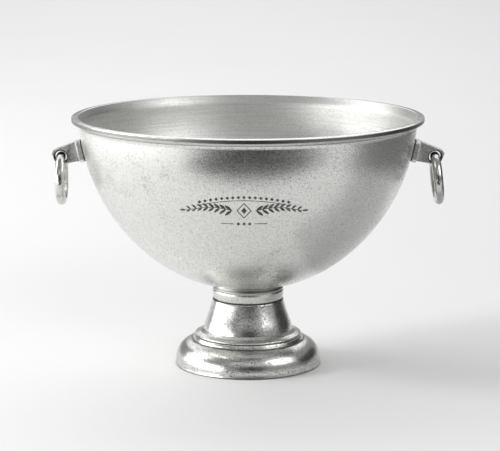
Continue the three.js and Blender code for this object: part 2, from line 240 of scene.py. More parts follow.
def turned(name: str, outline: Sequence[Point], sides: int, closed: bool = False) -> Object:
    """An outline spun all the way round the Z axis, as on a lathe.

    Args:
        name: Name of the object.
        outline: (radius, height) points in millimetres.
        sides: Steps round the axis.
        closed: Whether the outline is a closed ring, for a piece with a hole through it.

    Returns:
        The turned solid.
    """
    obj = traced(name, (Vector((r, 0, z)) * MM for r, z in outline), closed)
    bpy.ops.mesh.spin(
        steps=sides, angle=2 * math.pi, center=(0, 0, 0), axis=(0, 0, 1), use_auto_merge=True
    )
    return tidied(obj)


def stretched(
    obj: Object, factors: tuple[float, float, float], **about: object
) -> Object:
    """Resizes a mesh along its axes.

    Args:
        obj: The object.
        factors: How much wider, deeper and higher it becomes.
        **about: Blender's setting of the centre, when that isn't the middle of the mesh.

    Returns:
        The same object.
    """
    opened(obj)
    bpy.ops.transform.resize(value=factors, **about)
    bpy.ops.object.mode_set(mode="OBJECT")
    return obj


def drum(
    name: str, radius: float, height: float, sides: int, **place: object
) -> Object:
    """A cylinder round its own centre.

    Args:
        name: Name of the object.
        radius: Radius in millimetres.
        height: Height in millimetres.
        sides: How many flat sides it has.
        **place: Blender's settings of its location and rotation, when it isn't at the origin.

    Returns:
        The cylinder.
    """
    deselect()
    bpy.ops.mesh.primitive_cylinder_add(
        vertices=sides, radius=radius * MM, depth=height * MM, **place
    )
    return started(name)


def prism(
    name: str, outline: Sequence[Point], axes: tuple[Vector, Vector, Vector], low: float, high: float
) -> Object:
    """A flat outline filled and extruded to a thickness.

    Args:
        name: Name of the object.
        outline: Corner points in millimetres, in the plane of the first two axes.
        axes: Directions of the outline's two measures and of its thickness.
        low: Where the thickness starts, in millimetres.
        high: Where it ends.

    Returns:
        The solid.
    """
    across, up, deep = axes
    points = (MM * (a * across + b * up + low * deep) for a, b in outline)
    obj = traced(name, points, True)
    bpy.ops.mesh.edge_face_add()
    bpy.ops.mesh.extrude_region_move(TRANSFORM_OT_translate={"value": deep * (high - low) * MM})
    return tidied(obj)


def modified(obj: Object, kind: str, **settings: object) -> Object:
    """Adds one modifier and applies it.

    Args:
        obj: The object.
        kind: Blender's name of the modifier.
        **settings: The modifier's settings.

    Returns:
        The same object.
    """
    choose(obj)
    bpy.ops.object.modifier_add(type=kind)
    modifier = obj.modifiers[-1]
    for key, value in settings.items():
        setattr(modifier, key, value)
    bpy.ops.object.modifier_apply(modifier=modifier.name)
    return obj


class Join(Enum):
    """How one solid meets another."""

    ADD = "UNION"
    CUT = "DIFFERENCE"
    KEEP = "INTERSECT"


def joined(obj: Object, tool: Object, how: Join) -> Object:
    """Meets a solid with another, which is used up.

    Args:
        obj: The solid that stays.
        tool: The solid that is used up.
        how: Whether the tool is added, cut away or kept in common.

    Returns:
        The first object.
    """
    modified(obj, "BOOLEAN", operation=how.value, object=tool, solver="EXACT")
    bpy.data.objects.remove(tool)
    return obj


def placed(obj: Object, place: Matrix) -> Object:
    """Moves an object and puts its new place in its mesh.

    Args:
        obj: The object.
        place: Where it goes.

    Returns:
        The same object.
    """
    choose(obj)
    obj.matrix_world = place
    bpy.ops.object.transform_apply(location=True, rotation=True, scale=True)
    return obj


def copied(obj: Object, name: str, place: Matrix) -> Object:
    """A copy with its own mesh.

    Args:
        obj: What is copied.
        name: The copy's name.
        place: Where the copy goes.

    Returns:
        The copy.
    """
    twin = obj.copy()
    twin.data = obj.data.copy()
    twin.name = name
    twin.data.name = name
    bpy.context.scene.collection.objects.link(twin)
    return placed(twin, place)


class Slot(Enum):
    """The record's material slots."""

    SILVER = "antique_silver"
    CAST = "cast_silver"
    STEEL = "steel"
    RUBBER = "rubber"
    FELT = "felt"


def dressed(
    obj: Object,
    material: Material,
    slot: Slot,
    *nodes: str,
    body: str = "bucket",
    crease: float = 35,
) -> Object:
    """Smooths a finished piece, gives it its material and joins it to the frame.

    Args:
        obj: The finished piece.
        material: Its material.
        slot: The record's slot of that material; not used.
        *nodes: The CAD nodes it stands for.
        body: The body it rides on.
        crease: Angle above which an edge stays sharp, in degrees.

    Returns:
        The piece.
    """
    choose(obj)
    bpy.ops.object.shade_smooth_by_angle(angle=math.radians(crease))
    obj.data.materials.clear()
    obj.data.materials.append(material)
    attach(obj, body)
    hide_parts(*nodes)
    log.info("%s: %d faces", obj.name, len(obj.data.polygons))
    return obj


def box_mm(node: str) -> tuple[Vector, Vector]:
    """Lowest and highest corner of a CAD node, in millimetres."""
    low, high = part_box(node)
    return low / MM, high / MM


X_AXIS = Vector((1, 0, 0))
Y_AXIS = Vector((0, 1, 0))
Z_AXIS = Vector((0, 0, 1))


# ---- Shader groups ----


CLOUD_SHARE = 0.55

class Shop:
    """Adds and links nodes in one shader tree."""

    def __init__(self, tree: Tree) -> None:
        """Keeps the tree."""
        self.tree = tree

    def add(self, kind: str, **settings: object) -> Node:
        """Adds a node.

        Args:
            kind: The node's type, without its ShaderNode prefix.
            **settings: Attributes of the node.

        Returns:
            The node.
        """
        node = self.tree.nodes.new("ShaderNode" + kind)
        for key, value in settings.items():
            setattr(node, key, value)
        return node

    def feed(self, node: Node, **inputs: object) -> Node:
        """Sets or links a node's inputs; an underscore in a name stands for a space.

        Args:
            node: The node.
            **inputs: A value, or another node's output, for each input by name or number.

        Returns:
            The same node.
        """
        for key, value in inputs.items():
            name = key.replace("_", " ").strip()
            socket = node.inputs[int(name[1:])] if name[1:].isdigit() else node.inputs[name]
            if isinstance(value, Socket):
                self.tree.links.new(value, socket)
            else:
                socket.default_value = value
        return node

    def math(self, operation: str, a: object, b: object = 0.0) -> Socket:
        """A sum of two numbers or outputs, and its result."""
        return self.feed(self.add("Math", operation=operation), i0=a, i1=b).outputs[0]

    def ramp(self, value: object, low: object, high: object) -> Socket:
        """A smooth rise from 0 at the low value to 1 at the high one."""
        node = self.add("MapRange", interpolation_type="SMOOTHSTEP")
        return self.feed(node, Value=value, From_Min=low, From_Max=high).outputs["Result"]

    def mix(self, factor: object, a: object, b: object) -> Socket:
        """Two colours mixed by a factor.

        Args:
            factor: 0 for the first colour, 1 for the second.
            a: The first colour.
            b: The second colour.

        Returns:
            The mixed colour.
        """
        node = self.add("Mix", data_type="RGBA")
        return self.feed(node, i0=factor, i6=a, i7=b).outputs[2]


def new_group(
    name: str, numbers: Sequence[tuple[str, float]], results: Sequence[str]
) -> tuple[Tree, Shop, Node, Node]:
    """An empty shader group that takes a place and some numbers.

    Args:
        name: The group's name.
        numbers: Name and default of each number it takes besides its place.
        results: Names of the numbers it gives out.

    Returns:
        The tree, its shop, its input node and its output node.
    """
    tree = bpy.data.node_groups.new(name, "ShaderNodeTree")
    tree.interface.new_socket("Place", in_out="INPUT", socket_type="NodeSocketVector")
    for title, value in numbers:
        socket = tree.interface.new_socket(title, in_out="INPUT", socket_type="NodeSocketFloat")
        socket.default_value = value
    for title in results:
        tree.interface.new_socket(title, in_out="OUTPUT", socket_type="NodeSocketFloat")
    shop = Shop(tree)
    return tree, shop, tree.nodes.new("NodeGroupInput"), tree.nodes.new("NodeGroupOutput")


def tarnish_group() -> Tree:
    """Clouds of tarnish broken up by a fine grain.

    Returns:
        The group: Tarnish is a mask, Grain the fine pattern and Cloud the broad one.
    """
    tree, shop, source, result = new_group(
        "silver_tarnish",
        (("Cloud Size", 40.0), ("Grain Size", 600.0), ("Cover", 0.5), ("Softness", 0.12)),
        ("Tarnish", "Grain", "Cloud"),
    )
    place = source.outputs["Place"]
    cloud = shop.add("TexNoise")
    shop.feed(cloud, Vector=place, Scale=source.outputs["Cloud Size"], Detail=5.0, Roughness=0.62)
    grain = shop.add("TexNoise")
    shop.feed(grain, Vector=place, Scale=source.outputs["Grain Size"], Detail=3.0, Roughness=0.7)
    broad = shop.math("MULTIPLY", cloud.outputs[0], CLOUD_SHARE)
    fine = shop.math("MULTIPLY", grain.outputs[0], 1 - CLOUD_SHARE)
    both = shop.math("ADD", broad, fine)
    cover = source.outputs["Cover"]
    soft = source.outputs["Softness"]
    low = shop.math("SUBTRACT", shop.math("SUBTRACT", 1.0, cover), soft)
    high = shop.math("ADD", shop.math("SUBTRACT", 1.0, cover), soft)
    shop.feed(result, Tarnish=shop.ramp(both, low, high), Grain=grain.outputs[0], Cloud=cloud.outputs[0])
    return tree


def turning_group() -> Tree:
    """Fine marks left round a turned piece by polishing on the lathe.

    Returns:
        The group: Marks is the broken pattern of lines.
    """
    tree, shop, source, result = new_group(
        "turning_marks", (("Fineness", 1300.0), ("Length", 14.0)), ("Marks",)
    )
    split = shop.feed(shop.add("SeparateXYZ"), Vector=source.outputs["Place"])
    flat = shop.feed(shop.add("CombineXYZ"), X=split.outputs["X"], Y=split.outputs["Y"])
    radius = shop.feed(shop.add("VectorMath", operation="LENGTH"), i0=flat.outputs[0]).outputs["Value"]
    climb = shop.math("ADD", split.outputs["Z"], shop.math("MULTIPLY", radius, 0.62))
    long = source.outputs["Length"]
    lines = shop.feed(
        shop.add("CombineXYZ"), X=shop.math("MULTIPLY", split.outputs["X"], long),
        Y=shop.math("MULTIPLY", split.outputs["Y"], long),
        Z=shop.math("MULTIPLY", climb, source.outputs["Fineness"]),
    )
    noise = shop.feed(shop.add("TexNoise"), Vector=lines.outputs[0], Scale=1.0, Detail=3.0, Roughness=0.6)
    shop.feed(result, Marks=noise.outputs[0])
    return tree


def band_group() -> Tree:
    """A level band round a turned piece, used to lay painted shade and painted dark reflections.

    Returns:
        The group: Band is 1 at the level and falls to 0 at its width above and below.
    """
    tree, shop, source, result = new_group(
        "level_band", (("Level", 0.0), ("Width", 0.001), ("Waver", 0.0)), ("Band",)
    )
    split = shop.feed(shop.add("SeparateXYZ"), Vector=source.outputs["Place"])
    noise = shop.feed(shop.add("TexNoise"), Vector=source.outputs["Place"], Scale=170.0, Detail=3.0)
    sway = shop.math("MULTIPLY", shop.math("SUBTRACT", noise.outputs[0], 0.5), source.outputs["Waver"])
    height = shop.math("ADD", split.outputs["Z"], sway)
    away = shop.math("ABSOLUTE", shop.math("SUBTRACT", height, source.outputs["Level"]))
    share = shop.math("DIVIDE", away, source.outputs["Width"])
    fall = shop.ramp(share, 0.4, 1.0)
    shop.feed(result, Band=shop.math("SUBTRACT", 1.0, fall))
    return tree


# ---- Finishes ----


Colour = tuple[float, float, float, float]


class Groups:
    """The shader effects that more than one material uses."""

    def __init__(self) -> None:
        """Builds each group once."""
        self.tarnish = tarnish_group()
        self.turning = turning_group()
        self.band = band_group()

    def use(self, shop: Shop, tree: Tree, **inputs: object) -> Node:
        """Places a group in a material.

        Args:
            shop: The material's shop.
            tree: The group.
            **inputs: Its inputs.

        Returns:
            The group's node.
        """
        node = shop.add("Group")
        node.node_tree = tree
        return shop.feed(node, **inputs)


def blank(name: str) -> tuple[Material, Shop, Node]:
    """A material with its shader only.

    Args:
        name: The material's name.

    Returns:
        The material, its shop and its shader node.
    """
    made = bpy.data.materials.new(name)
    made.use_nodes = True
    return made, Shop(made.node_tree), made.node_tree.nodes["Principled BSDF"]


@dataclass(frozen=True)
class Silver:
    """Antiqued silver: a bright metal with tarnish clouds, a fine grain, turning marks and painted dark
    lines.

    Each of painted_dark_levels is the height, half width and waver of a painted dark line, in millimetres:
    painted shade in seams, in creases and under edges, and painted dark reflections.
    """

    name: str
    bright: Colour = (0.81, 0.815, 0.79, 1)
    tarnished: Colour = (0.24, 0.235, 0.22, 1)
    cloud_size: float = 28.0
    grain_size: float = 520.0
    cover: float = 0.40
    softness: float = 0.10
    speckle: float = 0.3
    roughness: float = 0.26
    tarnish_roughness: float = 0.2
    marks: float = 0.12
    fineness: float = 1300.0
    grain_depth: float = 0.02
    wave_depth: float = 0.2
    mark_depth: float = 0.006
    painted_dark_levels: tuple[Corner, ...] = ()

    def material(self, groups: Groups) -> Material:
        """Builds the material.

        Args:
            groups: The shared effects.

        Returns:
            The material.
        """
        made, shop, shader = blank(self.name)
        place = shop.add("TexCoord").outputs["Object"]
        tarnish = groups.use(
            shop, groups.tarnish, Place=place, Cloud_Size=self.cloud_size,
            Grain_Size=self.grain_size, Cover=self.cover, Softness=self.softness,
        )
        marks = groups.use(shop, groups.turning, Place=place, Fineness=self.fineness)
        lines = shop.math("MULTIPLY", shop.ramp(marks.outputs["Marks"], 0.45, 0.7), self.marks)
        grain, cloud = tarnish.outputs["Grain"], tarnish.outputs["Cloud"]
        dark = shop.math("MAXIMUM", tarnish.outputs["Tarnish"], lines)
        specks = shop.math("MULTIPLY", shop.ramp(grain, 0.52, 0.6), self.speckle)
        dark = shop.math("MAXIMUM", dark, specks)
        # Painted shade and painted dark reflections: a dark line at each given level.
        for level, width, waver in self.painted_dark_levels:
            band = groups.use(
                shop, groups.band, Place=place, Level=level * MM, Width=width * MM, Waver=waver * MM
            )
            dark = shop.math("MAXIMUM", dark, band.outputs["Band"])
        rough = shop.math("MULTIPLY", dark, self.tarnish_roughness)
        rough = shop.math("ADD", rough, shop.math("MULTIPLY", cloud, 0.2))
        rough = shop.math("ADD", rough, self.roughness - 0.1)
        waves = shop.feed(shop.add("Bump"), Height=cloud, Distance=self.wave_depth * MM)
        pits = shop.feed(
            shop.add("Bump"), Height=grain, Distance=self.grain_depth * MM, Normal=waves.outputs[0],
        )
        lathe = shop.feed(
            shop.add("Bump"), Height=marks.outputs["Marks"], Distance=self.mark_depth * MM,
            Normal=pits.outputs[0],
        )
        colour = shop.mix(dark, self.bright, self.tarnished)
        shop.feed(shader, Base_Color=colour, Roughness=rough, Metallic=1.0, Normal=lathe.outputs[0])
        return made


@dataclass(frozen=True)
class Plain:
    """A quiet finish for a small piece: two colours mixed by a grain, with a soft bump."""

    name: str
    colour: Colour
    second: Colour
    roughness: float
    metallic: float
    grain_size: float
    depth: float

    def material(self, groups: Groups) -> Material:
        """Builds the material.

        Args:
            groups: The shared effects.

        Returns:
            The material.
        """
        made, shop, shader = blank(self.name)
        place = shop.add("TexCoord").outputs["Object"]
        grain = groups.use(
            shop, groups.tarnish, Place=place, Cloud_Size=120.0, Grain_Size=self.grain_size, Cover=0.5
        )
        bump = shop.feed(shop.add("Bump"), Height=grain.outputs["Grain"], Distance=self.depth * MM)
        rough = shop.math("MULTIPLY_ADD", grain.outputs["Tarnish"], 0.15)
        rough.node.inputs[2].default_value = self.roughness
        colour = shop.mix(grain.outputs["Tarnish"], self.colour, self.second)
        shop.feed(
            shader, Base_Color=colour, Roughness=rough, Metallic=self.metallic,
            Normal=bump.outputs[0],
        )
        return made


# ---- Bowl ----


@dataclass
class Bowl:
    """The wide flared bowl with its rolled lip and the boss under it."""

    groups: Groups
    sides: int = 192
    steps: int = 44
    foot_r: float = 39.8
    body_r: float = 191.43
    body_h: float = 182.0
    wall: float = 3.0
    low_handle: Point = (74.75, 13.96)
    high_handle: Point = (143.21, 90.11)
    lip_reach: float = 8.57
    cove: float = 1.2
    cove_h: float = 4.0
    under_h: float = 7.6
    edge_h: float = 4.3
    crest_h: float = 12.65
    crest_in: float = 7.4
    boss_r: float = 14.0
    boss_h: float = 13.0
    bore_r: float = 4.3
    bore_depth: float = 12.0
    floor_facing: float = 0.9
    lip_overlap: float = 1.0
    low: float = field(init=False)
    body: float = field(init=False)

    def __post_init__(self) -> None:
        """Takes the bowl's levels from the frame."""
        self.low = box_mm("bowl")[0].z + self.boss_h
        self.body = self.low + self.body_h

    def curve(self, steps: int) -> list[Point]:
        """The outside of the wall, from the foot up to the lip.

        Args:
            steps: Number of straight steps.

        Returns:
            Its (radius, height) points.
        """
        foot = (self.foot_r, self.low)
        low = (foot[0] + self.low_handle[0], foot[1] + self.low_handle[1])
        high = (foot[0] + self.high_handle[0], foot[1] + self.high_handle[1])
        return bezier(foot, low, high, (self.body_r, self.body), steps)

    def at(self, level: float) -> tuple[float, float]:
        """Radius of the wall's outside at a level, and how far it leans out there.

        Args:
            level: Height in millimetres.

        Returns:
            The radius in millimetres and the lean in radians.
        """
        run = self.curve(400)
        for (r0, z0), (r1, z1) in zip(run, run[1:]):
            if z1 >= level:
                share = (level - z0) / (z1 - z0)
                return r0 + share * (r1 - r0), math.atan2(r1 - r0, z1 - z0)
        return self.body_r, 0.0

    def outline(self) -> list[Point]:
        """The whole section, from the axis under the bowl round to the axis inside it.

        Returns:
            Its (radius, height) points.
        """
        lip_r = self.body_r + self.lip_reach
        under = self.body + self.under_h
        top = under + self.edge_h
        crest_r = lip_r - self.crest_in
        crest = self.body + self.crest_h
        bottom = self.low - self.boss_h
        bore_top = bottom + self.bore_depth
        boss = rounded(
            [
                (0, bore_top, 0), (self.bore_r, bore_top, 0.3), (self.bore_r, bottom, 0.5),
                (self.boss_r, bottom, 0.8), (self.boss_r, self.low, 0),
            ],
            3,
        )
        lip = rounded(
            [
                (*self.curve(self.steps)[-2], 0), (self.body_r, self.body, 8),
                (self.body_r + self.cove, self.body + self.cove_h, 5), (lip_r, under, 0.4),
                (lip_r, top, 0.6), (crest_r, crest, 1.4),
                (self.body_r - self.wall, self.body + self.cove_h, 28),
                (*offset(self.curve(self.steps), self.wall)[-2], 0),
            ],
            6,
        )
        outside = self.curve(self.steps)[:-2]
        inside = offset(self.curve(self.steps), self.wall)[:-2][::-1]
        return [*boss, *outside, *lip, *inside, (0, inside[-1][1])]

    def grown(self, clearance: float, low: float, high: float) -> Object:
        """A solid of the bowl's outside grown by a clearance, between two levels.

        Args:
            clearance: How far it is grown.
            low: Lowest level in millimetres.
            high: Highest level.

        Returns:
            The solid.
        """
        run = [p for p in offset(self.curve(90), -clearance) if low <= p[1] <= high]
        return turned("grown_bowl", [(0, run[0][1]), *run, (0, run[-1][1])], self.sides)

    def build(self) -> Object:
        """Turns the bowl and dresses it.

        Returns:
            The bowl.
        """
        obj = turned("bowl_shell", self.outline(), self.sides)
        edge = self.body + self.under_h
        # The dark line just under the flare of the lip is painted shade.
        outside = Silver(
            "bowl_silver", bright=(0.785, 0.79, 0.766, 1), tarnished=(0.4, 0.395, 0.38, 1),
            cover=0.4, cloud_size=11.0, grain_size=480.0, softness=0.09, speckle=0.42,
            roughness=0.25, marks=0.18, grain_depth=0.13, painted_dark_levels=((edge - 3.4, 0.8, 1.2),),
        )
        crest_r = self.body_r + self.lip_reach - self.crest_in
        # The dark band round the middle of the lip's edge is a painted dark reflection.
        lip = Silver(
            "lip_silver", bright=(0.74, 0.745, 0.725, 1), tarnished=(0.2, 0.198, 0.188, 1),
            cloud_size=60.0, cover=0.36, roughness=0.16, marks=0.0, grain_depth=0.015,
            painted_dark_levels=((edge + 2.0, 2.5, 0.8),),
        )
        inside = Silver(
            "bowl_inside_silver", bright=(0.78, 0.785, 0.76, 1), cover=0.33, cloud_size=15.0,
            grain_size=430.0, speckle=0.26, roughness=0.42, grain_depth=0.12, marks=0.3,
            mark_depth=0.01,
        )
        # A darker copy of the inside silver for the inner face of the rim: painted shade.
        rim_shade = replace(inside, name="rim_inside_painted_shade", bright=(0.68, 0.684, 0.662, 1))
        dressed(obj, outside.material(self.groups), Slot.SILVER, "bowl")
        for finish in (inside, lip, rim_shade):
            obj.data.materials.append(finish.material(self.groups))
        for face in obj.data.polygons:
            radius = math.hypot(face.center.x, face.center.y)
            inward = face.normal.x * face.center.x + face.normal.y * face.center.y < 0
            level = face.normal.z > self.floor_facing and face.center.z < self.body / 2 * MM
            if face.center.z > (edge - self.lip_overlap) * MM and (radius > crest_r * MM or not inward):
                face.material_index = 2
            elif inward and face.center.z > (self.body + self.cove_h) * MM:
                face.material_index = 3
            elif (inward or level) and face.center.z > self.low * MM:
                face.material_index = 1
        return obj


@dataclass
class Engraving:
    """A generic leaf ornament: a thin blackened skin on the front of the bowl."""

    groups: Groups
    bowl: Bowl
    across: float = -4.0
    level: float = 209.0
    half_width: float = 62.0
    leaf_l: float = 9.4
    leaf_w: float = 3.2
    leaf_step: float = 5.6
    rule_w: float = 0.55
    inlay: float = 0.12
    stem_start: float = 12.0
    stem_sway: float = 3.2
    stem_turns: float = 1.15
    leaf_lean: float = 38.0
    leaf_point: float = 0.55
    leaf_taper: float = 0.45
    leaf_start: float = 1.0
    leaf_tip: float = 0.7
    diamond: Point = (7.5, 8.5)
    diamond_line: float = 0.9
    diamond_heart: Point = (6.0, 7.5)
    bead: float = 3.9
    beads: int = 8
    bead_step: float = 5.9
    bow_h: float = 15.2
    bow_fall: float = 0.0028
    arch_h: float = 11.6
    arch_half: int = 50
    low_bead_step: float = 6.0
    low_h: float = 15.6
    low_rule_w: float = 0.6
    low_rule: tuple[float, float, float] = (11.0, 25.0, 0.4)
    marks: list[Object] = field(default_factory=list)

    def disc(self, name: str, corners: int, width: float, height: float) -> Object:
        """A flat mark that faces the front, round its own centre.

        Args:
            name: Name of the object.
            corners: Number of corners: four make a diamond.
            width: Width in millimetres.
            height: Height in millimetres.

        Returns:
            The mark.
        """
        deselect()
        bpy.ops.mesh.primitive_circle_add(
            vertices=corners, radius=width / 2 * MM, fill_type="NGON", rotation=(math.pi / 2, 0, 0)
        )
        return stretched(started(name), (1, 1, height / width))

    def leaf(self, scale: float) -> Object:
        """A pointed leaf, lying along X from its root.

        Args:
            scale: Its size, as a share of the largest leaf.

        Returns:
            The leaf.
        """
        length, width = self.leaf_l * scale, self.leaf_w * scale
        obj = self.disc("leaf", 12, length, width)
        for vertex in obj.data.vertices:
            share = abs(vertex.co.x) / (length / 2 * MM)
            vertex.co.z *= 1 - self.leaf_point * share**2
            vertex.co.x += length / 2 * MM
        return obj

    def lay(self, source: Object, across: float, up: float, turn: float) -> None:
        """Lays a copy of a mark at a place of the ornament.

        Args:
            source: The mark.
            across: Place along the ornament, in millimetres.
            up: Place above its middle line.
            turn: Turn in the plane of the ornament, in degrees.
        """
        reach = self.bowl.body_r + 4 * self.bowl.wall
        place = Matrix.Translation(Vector((self.across + across, -reach, self.level + up)) * MM)
        turned_by = Matrix.Rotation(math.radians(-turn), 4, "Y")
        self.marks.append(copied(source, "mark", place @ turned_by))

    def rule(self, points: Sequence[Point], width: float) -> None:
        """Lays a thin line.

        Args:
            points: Its middle line, in millimetres from the ornament's middle.
            width: Its width.
        """
        above = offset(points, width / 2)
        below = offset(points, -width / 2)
        run = [*above, *reversed(below)]
        reach = self.bowl.body_r + 4 * self.bowl.wall
        middle = Vector((self.across, -reach, self.level))
        obj = traced("rule", (MM * (middle + a * X_AXIS + b * Z_AXIS) for a, b in run), True)
        bpy.ops.mesh.edge_face_add()
        bpy.ops.object.mode_set(mode="OBJECT")
        self.marks.append(obj)

    def sway(self, along: float) -> float:
        """Height of the leafy stem at a share of its length."""
        return self.stem_sway * math.sin(along * math.pi * self.stem_turns)

    def sprigs(self) -> None:
        """Two leafy stems that run out from the middle."""
        inner = self.stem_start
        length = self.half_width - inner
        count = int(length / self.leaf_step)
        for side in (-1, 1):
            stem = [(side * (inner + length * i / 24), self.sway(i / 24)) for i in range(25)]
            self.rule(stem, self.rule_w)
            for i in range(count):
                share = i / count
                leaf = self.leaf(1 - self.leaf_taper * share)
                across = side * (inner + self.leaf_start + length * share)
                for tilt in (-1, 1):
                    lean = self.leaf_lean * tilt
                    self.lay(leaf, across, self.sway(share), lean if side > 0 else 180 - lean)
                bpy.data.objects.remove(leaf)
            tip = self.leaf(self.leaf_tip)
            self.lay(tip, side * self.half_width, self.sway(1.0), 0 if side > 0 else 180)
            bpy.data.objects.remove(tip)

    def centre(self) -> None:
        """The nested diamonds in the middle."""
        w, h = self.diamond
        border = [(-w, 0), (0, h), (w, 0), (0, -h), (-w, 0)]
        for a, b in zip(border, border[1:]):
            self.rule([a, ((a[0] + b[0]) / 2, (a[1] + b[1]) / 2), b], self.diamond_line)
        small = self.disc("diamond", 4, *self.diamond_heart)
        self.lay(small, 0, 0, 0)
        bpy.data.objects.remove(small)

    def borders(self) -> None:
        """The row of small diamonds above and the short rule with three diamonds below."""
        bead = self.disc("bead", 4, self.bead, self.bead)
        for i in range(-self.beads, self.beads + 1):
            across = i * self.bead_step
            self.lay(bead, across, self.bow_h - self.bow_fall * across**2, 0)
        for i in (-1, 0, 1):
            self.lay(bead, i * self.low_bead_step, -self.low_h, 0)
        bpy.data.objects.remove(bead)
        inner, outer, rise = self.low_rule
        for side in (-1, 1):
            run = [
                (side * (inner + (outer - inner) * k / 8), -self.low_h + rise * k / 8) for k in range(9)
            ]
            self.rule(run, self.low_rule_w)
        half = self.arch_half
        arch = [(x, self.arch_h - self.bow_fall * x * x) for x in range(-half, half + 1, 4)]
        self.rule(arch, self.rule_w)

    def build(self) -> Object:
        """Lays the marks, wraps them onto the wall and gives them a thickness.

        Returns:
            The ornament.
        """
        self.sprigs()
        self.centre()
        self.borders()
        deselect()
        for mark in self.marks:
            mark.select_set(True)
        obj = self.marks[0]
        bpy.context.view_layer.objects.active = obj
        bpy.ops.object.join()
        obj.name = "bowl_engraving"
        obj.data.name = "bowl_engraving"
        wall = self.bowl.grown(0.0, self.bowl.low + self.bowl.boss_h, self.bowl.body)
        modified(
            obj, "SHRINKWRAP", target=wall, wrap_method="PROJECT", use_project_y=True,
            use_negative_direction=False, use_positive_direction=True, wrap_mode="ABOVE_SURFACE",
            offset=self.inlay / 2 * MM,
        )
        bpy.data.objects.remove(wall)
        opened(obj)
        bpy.ops.mesh.normals_make_consistent(inside=False)
        bpy.ops.object.mode_set(mode="OBJECT")
        modified(obj, "SOLIDIFY", thickness=2 * self.inlay * MM, offset=0.0)
        tidied(obj)
        black = Silver(
            "engraving_black", bright=(0.07, 0.068, 0.064, 1), tarnished=(0.42, 0.42, 0.4, 1),
            cover=0.3, roughness=0.5, marks=0.3,
        )
        return dressed(obj, black.material(self.groups), Slot.SILVER)


# ---- Foot ----


